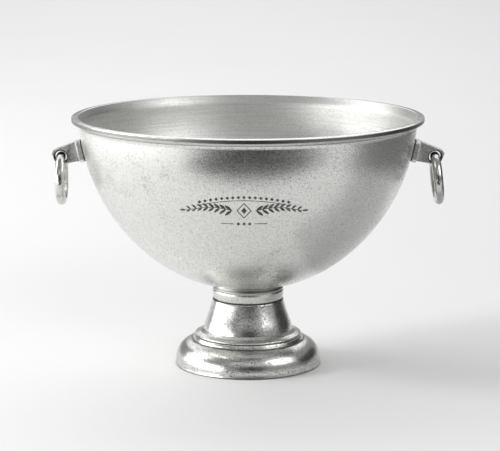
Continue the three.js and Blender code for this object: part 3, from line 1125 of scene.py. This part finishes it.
@dataclass
class Foot:
    """The collar, the bell-shaped stem, the domed base and the pads under it."""

    groups: Groups
    sides: int = 160
    bore_r: float = 4.3
    collar_r: float = 39.4
    collar_bulge: float = 1.5
    collar_wall: float = 6.5
    collar_crease: float = 0.55
    collar_crease_share: float = 0.36
    collar_crease_w: float = 0.1
    collar_edge: float = 0.9
    collar_soft: Point = (0.6, 0.25)
    stem_top_r: float = 40.67
    stem_waist_r: float = 51.5
    stem_flange_r: float = 61.15
    stem_flange_h: float = 5.85
    stem_edge: float = 2.05
    stem_wall: float = 4.0
    stem_crown: float = 5.0
    stem_low_handle: Point = (2.46, 12.27)
    stem_high_handle: Point = (5.48, 20.82)
    base_low_handle: Point = (0.4, 6.6)
    base_high_handle: Point = (7.2, 2.1)
    base_foot_r: float = 84.0
    base_skirt_r: float = 83.36
    base_skirt_h: float = 3.7
    base_shoulder_r: float = 65.4
    base_step_r: float = 63.0
    base_step_h: float = 4.9
    base_wall: float = 4.0
    base_plate: float = 6.0
    toe_h: float = 4.4
    toe_w: float = 17.0
    pad_gap: float = 0.3

    def collar(self) -> Object:
        """Turns the collar: a barrel with a shallow crease above its middle.

        Returns:
            The collar.
        """
        low, high = (corner.z for corner in box_mm("neck_collar"))
        middle, half = (low + high) / 2, (high - low) / 2
        inner = self.collar_r - self.collar_wall
        run = []
        for i in range(29):
            share = -1 + 2 * i / 28
            r = self.collar_r + self.collar_bulge * (1 - share**2)
            away = (share - self.collar_crease_share) / self.collar_crease_w
            r -= self.collar_crease * math.exp(-(away**2))
            run.append((r, middle + share * (half - self.collar_edge)))
        edge = self.collar_r - self.collar_edge
        out, up = self.collar_soft
        outline = [(inner, low), (edge, low), (edge + out, low + up), *run]
        outline += [(edge + out, high - up), (edge, high), (inner, high)]
        obj = turned("neck_collar_ring", outline, self.sides, True)
        crease = middle + self.collar_crease_share * half
        # Painted shade at both ends of the collar and in its crease, and a broad painted dark reflection
        # on the bulge above the crease.
        finish = Silver(
            "collar_silver", bright=(0.7, 0.705, 0.68, 1), cover=0.34, speckle=0.22, roughness=0.24,
            painted_dark_levels=((low, 0.6, 0.4), (high, 0.9, 0.4), (crease, 0.5, 0.5), (crease + 2.7, 2.4, 1.0)),
        )
        return dressed(obj, finish.material(self.groups), Slot.SILVER, "neck_collar")

    def cast_finish(self, name: str, shade_lines: tuple[Corner, ...]) -> Silver:
        """The coarse dark grain that stem and base share.

        Args:
            name: The finish's name.
            shade_lines: Height, half width and waver of each line of painted shade.

        Returns:
            The finish.
        """
        return Silver(
            name, bright=(0.74, 0.745, 0.72, 1), tarnished=(0.15, 0.148, 0.137, 1), cover=0.37,
            cloud_size=60.0, grain_size=620.0, softness=0.09, speckle=0.92, roughness=0.18,
            grain_depth=0.15, wave_depth=0.03, painted_dark_levels=shade_lines,
        )

    def stem(self) -> Object:
        """Turns the hollow stem with its flange.

        Returns:
            The stem.
        """
        low, high = (corner.z for corner in box_mm("stem_bell"))
        flange = low + self.stem_flange_h
        side = bezier(
            (self.stem_waist_r, flange),
            (self.stem_waist_r - self.stem_low_handle[0], flange + self.stem_low_handle[1]),
            (self.stem_top_r + self.stem_high_handle[0], high - self.stem_high_handle[1]),
            (self.stem_top_r, high),
            30,
        )
        hollow = [p for p in offset(side, self.stem_wall) if p[1] < high - self.stem_crown]
        foot = rounded(
            [
                (self.stem_waist_r - self.stem_wall, low, 0), (self.stem_flange_r - 0.4, low, 0.7),
                (self.stem_flange_r, low + self.stem_edge, 1.6),
                (self.stem_waist_r + 3.2, low + self.stem_edge + 2.2, 3.0), (*side[1], 0),
            ],
            5,
        )
        top = rounded([(*side[-2], 0), (self.stem_top_r, high, 0.8), (self.bore_r, high, 0)], 3)
        crown = high - self.stem_crown
        inside = [(self.bore_r, crown), (hollow[-1][0], crown), *hollow[:-1][::-1]]
        outline = [*foot, *side[2:-2], *top, *inside]
        obj = turned("stem_bell_casting", outline, self.sides, True)
        # Painted shade at the stem's foot and top, where it meets the base and the collar.
        finish = self.cast_finish("stem_silver", ((low, 0.7, 0.5), (high, 0.4, 0.5)))
        return dressed(obj, finish.material(self.groups), Slot.SILVER, "stem_bell")

    def base(self) -> Object:
        """Turns the base with the round step on its dome, and sinks the pads' pockets.

        Returns:
            The base.
        """
        low, high = (corner.z for corner in box_mm("base"))
        shoulder = high - self.base_step_h
        dome = bezier(
            (self.base_skirt_r, low + self.base_skirt_h),
            (self.base_skirt_r - self.base_low_handle[0], shoulder - self.base_low_handle[1]),
            (self.base_shoulder_r + self.base_high_handle[0], shoulder - self.base_high_handle[1]),
            (self.base_shoulder_r, shoulder),
            34,
        )
        ceiling = high - self.base_plate
        hollow = [p for p in offset(dome, self.base_wall) if low + self.toe_h < p[1] < ceiling]
        toe = self.base_foot_r - self.toe_w
        top = rounded(
            [
                (*dome[-2], 0), (self.base_step_r + 0.8, shoulder + 0.1, 0.5),
                (self.base_step_r, high - 2.4, 1.2), (self.base_step_r - 0.9, high, 1.0),
                (self.bore_r, high, 0),
            ],
            4,
        )
        outline = [
            (toe, low), (self.base_foot_r - 0.5, low), (self.base_foot_r, low + 0.5), *dome[:-1],
            *top[1:], (self.bore_r, ceiling), (hollow[-1][0] - self.base_wall, ceiling),
            *hollow[::-1], (self.base_skirt_r - self.base_wall, low + self.toe_h),
            (toe, low + self.toe_h),
        ]
        obj = turned("base_casting", outline, self.sides, True)
        for index in range(1, 5):
            first, last = box_mm(f"foot_pad_{index}")
            middle = (first + last) / 2
            radius = (last.x - first.x) / 2 + self.pad_gap
            depth = 2 * (last.z + self.pad_gap - low)
            place = (middle.x * MM, middle.y * MM, low * MM)
            joined(obj, drum("pocket", radius, depth, 32, location=place), Join.CUT)
        # Painted shade at the foot of the round step and a painted contact shadow along the bottom edge.
        shade_lines = ((shoulder + 0.4, 0.9, 1.4), (low, 1.2, 0.6))
        finish = self.cast_finish("base_silver", shade_lines)
        return dressed(obj, finish.material(self.groups), Slot.SILVER, "base")

    def pads(self) -> list[Object]:
        """Turns one felt pad and copies it under the base.

        Returns:
            The four pads.
        """
        finish = Plain(
            "pad_felt", (0.028, 0.042, 0.031, 1), (0.05, 0.066, 0.052, 1), 0.85, 0.0, 2200.0, 0.12
        )
        material = finish.material(self.groups)
        pads = []
        first, last = box_mm("foot_pad_1")
        radius, high = (last.x - first.x) / 2, last.z - first.z
        outline = rounded([(0, 0, 0), (radius, 0, 0.5), (radius, high, 0.3), (0, high, 0)], 3)
        model = turned("pad_model", outline, 32)
        for index in range(1, 5):
            first, last = box_mm(f"foot_pad_{index}")
            middle = (first + last) / 2
            place = Matrix.Translation(Vector((middle.x, middle.y, first.z)) * MM)
            pad = copied(model, f"felt_pad_{index}", place)
            pads.append(dressed(pad, material, Slot.FELT, f"foot_pad_{index}"))
        bpy.data.objects.remove(model)
        return pads

    def build(self) -> list[Object]:
        """Makes every piece of the foot."""
        return [self.collar(), self.stem(), self.base(), *self.pads()]


# ---- Clamp ----


@dataclass
class Clamp:
    """The stud, washer and nut that hold the foot to the bowl."""

    groups: Groups
    bore_r: float = 4.3
    thread_depth: float = 0.45
    thread_pitch: float = 1.25
    chamfer: float = 0.6
    nut_chamfer: float = 0.9
    nut_round: float = 0.1

    def stud(self) -> Object:
        """Turns the stud, threaded from end to end.

        Returns:
            The stud.
        """
        first, last = box_mm("clamp_stud")
        radius = (last.x - first.x) / 2
        outline = [(0, first.z), (radius - self.chamfer, first.z)]
        level = first.z + self.chamfer
        while level < last.z - self.chamfer - self.thread_pitch:
            outline.append((radius, level + self.thread_pitch / 4))
            outline.append((radius - self.thread_depth, level + self.thread_pitch * 3 / 4))
            level += self.thread_pitch
        outline += [(radius - self.chamfer, last.z), (0, last.z)]
        return turned("threaded_stud", outline, 32)

    def washer(self) -> Object:
        """Turns the washer with its rounded edge.

        Returns:
            The washer.
        """
        first, last = box_mm("clamp_washer")
        radius = last.x
        outline = rounded(
            [
                (self.bore_r, first.z, 0), (radius, first.z, self.chamfer),
                (radius, last.z, self.chamfer), (self.bore_r, last.z, 0),
            ],
            3,
        )
        return turned("large_washer", outline, 64, True)

    def nut(self) -> Object:
        """Cuts the hexagon nut and rounds off its corners.

        Returns:
            The nut.
        """
        first, last = box_mm("clamp_nut")
        half_x, half_y = (last.x - first.x) / 2, (last.y - first.y) / 2
        corner = max(half_x, half_y)
        cut = self.nut_chamfer
        outline = rounded(
            [
                (0, first.z, 0), (corner - cut, first.z, self.nut_round),
                (corner, first.z + cut, self.nut_round), (corner, last.z - cut, self.nut_round),
                (corner - cut, last.z, self.nut_round), (0, last.z, 0),
            ],
            2,
        )
        obj = turned("hexagon_nut", outline, 96)
        middle = (first + last) / 2 * MM
        height = 4 * (last.z - first.z)
        turn = (0, 0, math.radians(30) if half_y > half_x else 0)
        joined(obj, drum("hexagon", corner, height, 6, location=middle, rotation=turn), Join.KEEP)
        return joined(obj, drum("bore", self.bore_r, height, 32, location=middle), Join.CUT)

    def build(self) -> list[Object]:
        """Makes the three pieces.

        Returns:
            The stud, the washer and the nut.
        """
        steel = steel_finish().material(self.groups)
        made = [self.stud(), self.washer(), self.nut()]
        nodes = ["clamp_stud", "clamp_washer", "clamp_nut"]
        for obj, node in zip(made, nodes):
            dressed(obj, steel, Slot.STEEL, node)
        return made


def steel_finish() -> Plain:
    """The finish of the screws and the clamp.

    Returns:
        The finish.
    """
    return Plain(
        "bright_steel", (0.55, 0.56, 0.57, 1), (0.36, 0.36, 0.36, 1), 0.28, 1.0, 900.0, 0.01
    )


# ---- Handles ----


class Side(Enum):
    """The two handles, each with the turn that carries the right one to its place."""

    RIGHT = 0.0
    LEFT = 180.0

    @property
    def word(self) -> str:
        """The side's name in lower case."""
        return self.name.lower()

    @property
    def turn(self) -> Matrix:
        """Turn about the bucket's axis."""
        return Matrix.Rotation(math.radians(self.value), 4, "Z")


@dataclass
class Handles:
    """A cast bracket on a near-black sheet of painted shadow, its two screws and its ring, on each side of
    the bowl.
    """

    groups: Groups
    bowl: Bowl
    ring_r: float = 25.2
    bar_r: float = 5.6
    ring_wave: float = 9.0
    ring_dent: float = 0.3
    eye_bore_r: float = 6.9975
    eye_metal: float = 1.7
    # Painted shade reaches this far round the eye's bore.
    eye_shade_w: float = 1.25
    arm_cap: float = 3.1
    arm_slope: float = 21.8
    tip_round: float = 4.5
    arm_t: float = 12.0
    arm_root_t: float = 19.0
    arm_flare: float = 14.0
    arm_root_drop: float = 38.4
    overcut: float = 5.0
    flange_low_drop: float = 40.0
    flange_high_drop: float = 15.4
    flange_w: float = 22.0
    flange_t: float = 4.6
    flange_round: float = 4.0
    gap: float = 0.3
    # A near-black sheet behind the bracket stands in for the shadow in the gap: its thickness and inset.
    gasket_t: float = 1.2
    shadow_sheet_inset: float = 0.7
    screw_r: float = 2.0
    screw_grip: float = 10.5
    head_r: float = 4.0
    head_h: float = 2.4
    head_edge: float = 0.8
    head_round: float = 0.15
    thread_pitch: float = 0.8
    thread_d: float = 0.25
    tip_chamfer: float = 0.5
    head_stand: float = 1.0
    slot_w: float = 0.9
    slot_d: float = 1.0
    screw_drops: tuple[float, float] = (32.6, 21.4)
    cast_grain: float = 0.42
    lean: dict[Side, float] = field(default_factory=lambda: {Side.RIGHT: 6.0, Side.LEFT: 0.0})
    eye: Vector = field(init=False)

    def __post_init__(self) -> None:
        """Takes the eye's place from the right-hand joint."""
        joint = next(j for j in frame["joints"] if j["name"] == "ring_right_swing")
        self.eye = Vector(joint["pos_m"]) / MM

    @property
    def flange_level(self) -> float:
        """Height of the flange's middle."""
        return self.bowl.body - (self.flange_low_drop + self.flange_high_drop) / 2

    @property
    def backing(self) -> float:
        """How far the bracket's back stands off the wall."""
        return 2 * self.gap + self.gasket_t

    def on_wall(self, level: float, out: float) -> Matrix:
        """Place of a piece drawn facing +Z at the origin, once it stands on the wall.

        Args:
            level: Height on the wall.
            out: How far it stands out from the wall's outside.

        Returns:
            The place.
        """
        radius, lean = self.bowl.at(level)
        at = Vector((radius + out * math.cos(lean), 0, level - out * math.sin(lean)))
        turn = Matrix.Rotation(math.radians(90) + lean, 4, "Y")
        return Matrix.Translation(at * MM) @ turn @ Matrix.Rotation(math.radians(90), 4, "Z")

    def plate(self, inset: float, out: float) -> Object:
        """The flange's outline as a plate through the wall, rounded at its corners.

        Args:
            inset: How much smaller it is all round.
            out: How far its face stands out from the wall.

        Returns:
            The plate.
        """
        lean = self.bowl.at(self.flange_level)[1]
        w = self.flange_w / 2 - inset
        h = (self.flange_low_drop - self.flange_high_drop) / 2 / math.cos(lean) - inset
        r = self.flange_round
        corners = [(0, h, 0), (-w, h, r), (-w, -h, r), (w, -h, r), (w, h, r), (0, h, 0)]
        outline = rounded(corners, 6)[:-1]
        obj = prism("plate", outline, (X_AXIS, Y_AXIS, Z_AXIS), -2.0, out)
        return placed(obj, self.on_wall(self.flange_level, 0))

    def arm(self) -> Object:
        """The arm that carries the ring: its side view cut to its plan.

        Returns:
            The arm.
        """
        slope = math.radians(self.arm_slope)
        down = Vector((math.cos(slope), -math.sin(slope)))
        up = Vector((math.sin(slope), math.cos(slope)))
        eye = Vector((self.eye.x, self.eye.z))
        eye_r = self.eye_bore_r + self.eye_metal
        top = self.eye_bore_r + self.arm_cap
        level = self.bowl.body - self.arm_root_drop
        wall_x = self.bowl.at(level)[0]
        root = Vector((wall_x, level))
        bearing = math.atan2(eye.y - root.y, eye.x - root.x)
        under = bearing - math.asin(eye_r / (eye - root).length)
        start = under - math.pi / 2
        sunk = self.overcut
        outline = [(root.x - sunk, root.y - sunk * math.tan(under))]
        for i in range(17):
            angle = start + (-slope - start) * i / 16
            outline.append((eye.x + eye_r * math.cos(angle), eye.y + eye_r * math.sin(angle)))
        tip = eye + down * (eye_r - self.tip_round) + up * (top - self.tip_round)
        for i in range(13):
            angle = -slope + math.pi / 2 * i / 12
            outline.append(
                (tip.x + self.tip_round * math.cos(angle), tip.y + self.tip_round * math.sin(angle))
            )
        back = eye - down * ((eye.x - wall_x + sunk) / math.cos(slope)) + up * top
        outline.append(tuple(back))
        half = self.flange_w / 2
        side = prism("arm", outline, (X_AXIS, Z_AXIS, Y_AXIS), -half, half)
        straight = wall_x + self.arm_flare
        reach = eye.x + 2 * eye_r
        plan = [(reach, self.arm_t / 2)]
        for i in range(13):
            t = i / 12
            ends, middle = ((1 - t) ** 2, t * t), 2 * t * (1 - t)
            x = ends[0] * straight + middle * (straight - self.arm_flare / 2) + ends[1] * (wall_x - sunk)
            y = (ends[0] + middle) * self.arm_t / 2 + ends[1] * self.arm_root_t / 2
            plan.append((x, y))
        plan += [(x, -y) for x, y in reversed(plan)]
        tool = prism(
            "plan", plan, (X_AXIS, Y_AXIS, Z_AXIS), eye.y - 2 * self.ring_r, eye.y + 2 * self.ring_r
        )
        return joined(side, tool, Join.KEEP)

    def bracket(self) -> Object:
        """Joins arm and flange, cuts the wall, the eye and the screw bores, and rounds it as cast.

        Returns:
            The bracket.
        """
        obj = joined(self.arm(), self.plate(0, self.backing + self.flange_t), Join.ADD)
        low = self.bowl.body - 2 * self.flange_low_drop
        joined(obj, self.bowl.grown(self.backing, low, self.bowl.body), Join.CUT)
        turn = (math.pi / 2, 0, 0)
        eye = drum("eye", self.eye_bore_r, 2 * self.arm_t, 64, location=self.eye * MM, rotation=turn)
        joined(obj, eye, Join.CUT)
        depth = 2 * (self.backing + self.screw_grip + self.gap)
        for drop in self.screw_drops:
            bore = drum("bore", self.screw_r + self.gap, depth, 24)
            joined(obj, placed(bore, self.on_wall(self.bowl.body - drop, 0)), Join.CUT)
        modified(obj, "REMESH", mode="VOXEL", voxel_size=self.cast_grain * MM)
        modified(obj, "SMOOTH", factor=0.5, iterations=5)
        obj.name = "bracket_model"
        return obj

    def shadow_sheet(self) -> Object:
        """The thin near-black sheet that follows the wall behind the bracket: a painted shadow of the gap
        there.

        Returns:
            The sheet.
        """
        obj = self.plate(self.shadow_sheet_inset, 8.0)
        low = self.bowl.body - 2 * self.flange_low_drop
        joined(obj, self.bowl.grown(self.gap + self.gasket_t, low, self.bowl.body), Join.KEEP)
        joined(obj, self.bowl.grown(self.gap, low - self.overcut, self.bowl.body + self.overcut), Join.CUT)
        obj.name = "shadow_sheet_model"
        return obj

    def screw(self) -> Object:
        """A domed screw with a slot, drawn along +Z with its head's underside at the origin.

        Returns:
            The screw.
        """
        shank = self.head_stand + self.bowl.wall + self.backing + self.screw_grip
        edge, soft = self.head_edge, self.head_round
        outline = [(0, -self.head_h)]
        for i in range(1, 10):
            angle = math.pi / 2 * i / 9
            height = edge + (self.head_h - edge) * math.cos(angle)
            outline.append((self.head_r * math.sin(angle), -height))
        outline += [(self.head_r, -soft), (self.head_r - soft, 0), (self.screw_r, 0)]
        level = self.tip_chamfer
        while level < shank - 2 * self.tip_chamfer:
            outline.append((self.screw_r, level))
            outline.append((self.screw_r - self.thread_d, level + self.thread_pitch / 2))
            level += self.thread_pitch
        outline += [(self.screw_r - self.tip_chamfer, shank), (0, shank)]
        obj = turned("screw_model", outline, 32)
        deselect()
        bpy.ops.mesh.primitive_cube_add(size=MM, location=(0, 0, -self.head_h * MM))
        size = (3 * self.head_r, self.slot_w, 2 * self.slot_d)
        slot = stretched(started("slot"), size, center_override=(0, 0, -self.head_h * MM))
        return joined(obj, slot, Join.CUT)

    def ring(self) -> Object:
        """Spins the ring's bar round its centre, with the slight unevenness of hand casting.

        Returns:
            The ring.
        """
        deselect()
        bpy.ops.mesh.primitive_circle_add(
            vertices=40, radius=self.bar_r * MM, rotation=(0, math.pi / 2, 0)
        )
        obj = started("ring_model")
        opened(obj)
        bpy.ops.transform.rotate(value=math.pi / 2, orient_axis="Z", center_override=(0, 0, 0))
        bpy.ops.mesh.spin(
            steps=128, angle=2 * math.pi, center=(0, 0, -self.ring_r * MM), axis=(1, 0, 0),
            use_auto_merge=True,
        )
        tidied(obj)
        hammer = bpy.data.textures.new("ring_unevenness", "CLOUDS")
        hammer.noise_scale = self.ring_wave * MM
        modified(obj, "DISPLACE", texture=hammer, strength=self.ring_dent * MM, mid_level=1.0)
        return obj

    def build(self) -> list[Object]:
        """Makes one handle's pieces and copies them to both sides.

        Returns:
            Every piece of the handles.
        """
        cast = Silver(
            "bracket_cast_silver", bright=(0.82, 0.82, 0.8, 1), tarnished=(0.2, 0.198, 0.188, 1),
            cover=0.44, softness=0.07, cloud_size=130.0, grain_size=800.0, roughness=0.36,
            marks=0.0, grain_depth=0.05,
        ).material(self.groups)
        polished = Silver(
            "ring_silver", bright=(0.68, 0.68, 0.66, 1), tarnished=(0.14, 0.138, 0.13, 1),
            cover=0.41, cloud_size=90.0, grain_size=800.0, roughness=0.15, marks=0.0,
            grain_depth=0.015,
        ).material(self.groups)
        # Painted shade in and round the eye's bore, where the ring passes through.
        eye_shade = Silver(
            "bracket_eye_painted_shade", bright=(0.2, 0.2, 0.19, 1), tarnished=(0.05, 0.05, 0.045, 1),
            cover=0.6, cloud_size=200.0, roughness=0.5, marks=0.0,
        ).material(self.groups)
        # A near-black sheet behind each bracket: a painted shadow of the gap between flange and wall.
        rubber = Plain(
            "gasket_rubber", (0.02, 0.02, 0.02, 1), (0.035, 0.034, 0.032, 1), 0.6, 0.0, 1500.0, 0.03
        ).material(self.groups)
        steel = steel_finish().material(self.groups)
        bracket, shadow_sheet, screw, ring = self.bracket(), self.shadow_sheet(), self.screw(), self.ring()
        made = []
        for side in Side:
            word = side.word
            piece = copied(bracket, f"cast_bracket_{word}", side.turn)
            made.append(dressed(piece, cast, Slot.CAST, f"bracket_{word}", crease=60))
            piece.data.materials.append(eye_shade)
            eye = side.turn @ self.eye * MM
            # Faces in and round the eye's bore take the painted shade.
            for face in piece.data.polygons:
                away = math.hypot(face.center.x - eye.x, face.center.z - eye.z)
                if away < (self.eye_bore_r + self.eye_shade_w) * MM:
                    face.material_index = 1
            piece = copied(shadow_sheet, f"gasket_sheet_{word}", side.turn)
            made.append(dressed(piece, rubber, Slot.RUBBER, f"gasket_{word}"))
            for drop, which in zip(self.screw_drops, ("low", "high")):
                place = self.on_wall(self.bowl.body - drop, -self.bowl.wall - self.head_stand)
                piece = copied(screw, f"domed_screw_{word}_{which}", side.turn @ place)
                made.append(dressed(piece, steel, Slot.STEEL, f"screw_{word}_{which}"))
            lean = Matrix.Rotation(-math.radians(self.lean[side]), 4, "Y")
            hang = Matrix.Translation(self.eye * MM) @ lean
            piece = copied(ring, f"ring_handle_{word}", side.turn @ hang)
            body = f"ring_{word}"
            made.append(dressed(piece, polished, Slot.CAST, body, body=body, crease=60))
        for model in (bracket, shadow_sheet, screw, ring):
            bpy.data.objects.remove(model)
        return made


# ---- Studio ----


class Reach(Enum):
    """What a light falls on."""

    ALL = "all"
    FLOOR = "floor"
    METAL = "metal"


@dataclass(frozen=True)
class Panel:
    """A studio light or card: where it stands, what it faces, its size and its strength."""

    name: str
    place: tuple[float, float, float]
    facing: tuple[float, float, float]
    width: float
    height: float
    strength: float
    reach: Reach = Reach.ALL


@dataclass
class Studio:
    """A pale floor, soft lights, dark and grey cards and the camera."""

    floor_size: float = 40.0
    camera_distance: float = 2.259
    camera_height: float = 0.5819
    camera_aside: float = 0.0023
    camera_tilt: float = 10.56
    lens: float = 144.2
    sensor: float = 36.0
    sky: float = 0.32
    lights: tuple[Panel, ...] = (
        Panel("key_left", (-2.7, 0.6, 1.75), (0, 0, 0.15), 2.1, 2.1, 28),
        Panel("key_floor", (-2.7, -0.35, 1.65), (0, 0, 0.15), 0.75, 0.75, 34, Reach.FLOOR),
        Panel("wall_left", (-2.9, -0.5, 0.45), (0, 0, 0.3), 4.4, 0.8, 54),
        Panel("panel_right", (1.72, -0.95, 1.5), (0, 0, 0.15), 1.6, 1.3, 15, Reach.METAL),
        Panel("fill_front", (-0.9, -1.3, 0.5), (0, -0.05, 0), 0.6, 0.4, 1.1, Reach.FLOOR),
        Panel("fill_right", (1.0, -1.8, 1.3), (0.25, -0.3, 0), 1.6, 1.2, 15, Reach.FLOOR),
        Panel("glow_front", (0.0, -2.6, 2.0), (0, 0, 0.1), 3.4, 1.2, 4.6, Reach.METAL),
        Panel("overhead", (-0.5, 5.8, 2.8), (-0.5, 5.8, 0), 5.0, 10.4, 170),
    )
    cards: tuple[Panel, ...] = (
        Panel("dark_floor_card", (0.1, -1.65, 0.002), (0.1, -1.65, 3.0), 1.1, 2.3, 0.02),
        Panel("dark_back_card", (0.3, -3.4, 0.75), (0.3, 0, 0.75), 2.6, 1.5, 0.02),
        Panel("grey_floor_card", (1.42, 0.5, 0.002), (1.42, 0.5, 3.0), 1.7, 1.6, 0.18),
        Panel("grey_right_card", (2.3, 1.2, 0.55), (0, 0, 0.35), 2.8, 1.2, 0.04),
        Panel("shade_floor_card", (0.37, 0.06, 0.003), (0.37, 0.06, 3.0), 0.5, 0.5, 0.62),
    )

    def floor(self) -> None:
        """The pale floor, faintly mottled."""
        deselect()
        bpy.ops.mesh.primitive_plane_add(size=self.floor_size)
        obj = started("studio_floor")
        made, shop, shader = blank("floor_pale")
        place = shop.add("TexCoord").outputs["Object"]
        noise = shop.feed(shop.add("TexNoise"), Vector=place, Scale=2.5, Detail=2.0)
        colour = shop.mix(noise.outputs[0], (0.83, 0.83, 0.83, 1), (0.85, 0.85, 0.85, 1))
        shop.feed(shader, Base_Color=colour, Roughness=0.7)
        obj.data.materials.append(made)

    def aimed(self, obj: Object, panel: Panel) -> None:
        """Stands a light or card at its place, with its face towards what it faces.

        Args:
            obj: The light or card.
            panel: Its description.
        """
        obj.location = panel.place
        away = Vector(panel.facing) - Vector(panel.place)
        obj.rotation_euler = away.to_track_quat("-Z", "Y").to_euler()

    def light(self, panel: Panel) -> None:
        """Hangs one soft light.

        Args:
            panel: Its description.
        """
        deselect()
        bpy.ops.object.light_add(type="AREA")
        obj = bpy.context.active_object
        obj.name = panel.name
        obj.data.shape = "RECTANGLE"
        obj.data.size = panel.width
        obj.data.size_y = panel.height
        obj.data.energy = panel.strength
        obj.visible_camera = False
        obj.visible_glossy = panel.reach is not Reach.FLOOR
        obj.visible_diffuse = panel.reach is not Reach.METAL
        self.aimed(obj, panel)

    def card(self, panel: Panel) -> None:
        """Stands one card, seen only in the metal; its strength is how pale it is.

        Args:
            panel: Its description.
        """
        deselect()
        bpy.ops.mesh.primitive_plane_add(size=1)
        obj = bpy.context.active_object
        obj.name = panel.name
        obj.scale = (panel.width, panel.height, 1)
        self.aimed(obj, panel)
        made, shop, shader = blank(f"{panel.name}_paint")
        shop.feed(shader, Base_Color=(*(panel.strength,) * 3, 1), Roughness=0.9)
        obj.data.materials.append(made)
        obj.visible_camera = False
        obj.visible_diffuse = False
        obj.visible_shadow = False

    def camera(self) -> None:
        """Sets the camera."""
        deselect()
        bpy.ops.object.camera_add(
            location=(self.camera_aside, -self.camera_distance, self.camera_height),
            rotation=(math.radians(90 - self.camera_tilt), 0, 0),
        )
        obj = bpy.context.active_object
        obj.data.lens = self.lens
        obj.data.sensor_width = self.sensor
        obj.data.clip_end = 60
        bpy.context.scene.camera = obj

    def build(self) -> None:
        """Lights the stage."""
        self.floor()
        for panel in self.lights:
            self.light(panel)
        for panel in self.cards:
            self.card(panel)
        world = bpy.data.worlds.new("studio_air")
        world.use_nodes = True
        world.node_tree.nodes["Background"].inputs["Color"].default_value = (1, 1, 1, 1)
        world.node_tree.nodes["Background"].inputs["Strength"].default_value = self.sky
        bpy.context.scene.world = world
        bpy.context.scene.view_settings.view_transform = "Standard"
        self.camera()


def main() -> None:
    """Builds every piece in order, then the studio."""
    groups = Groups()
    bowl = Bowl(groups)
    made = [bowl.build(), Engraving(groups, bowl).build()]
    made += Foot(groups).build()
    made += Clamp(groups).build()
    made += Handles(groups, bowl).build()
    log.info("%d pieces", len(made))
    Studio().build()


if __name__ == "__main__":
    main()
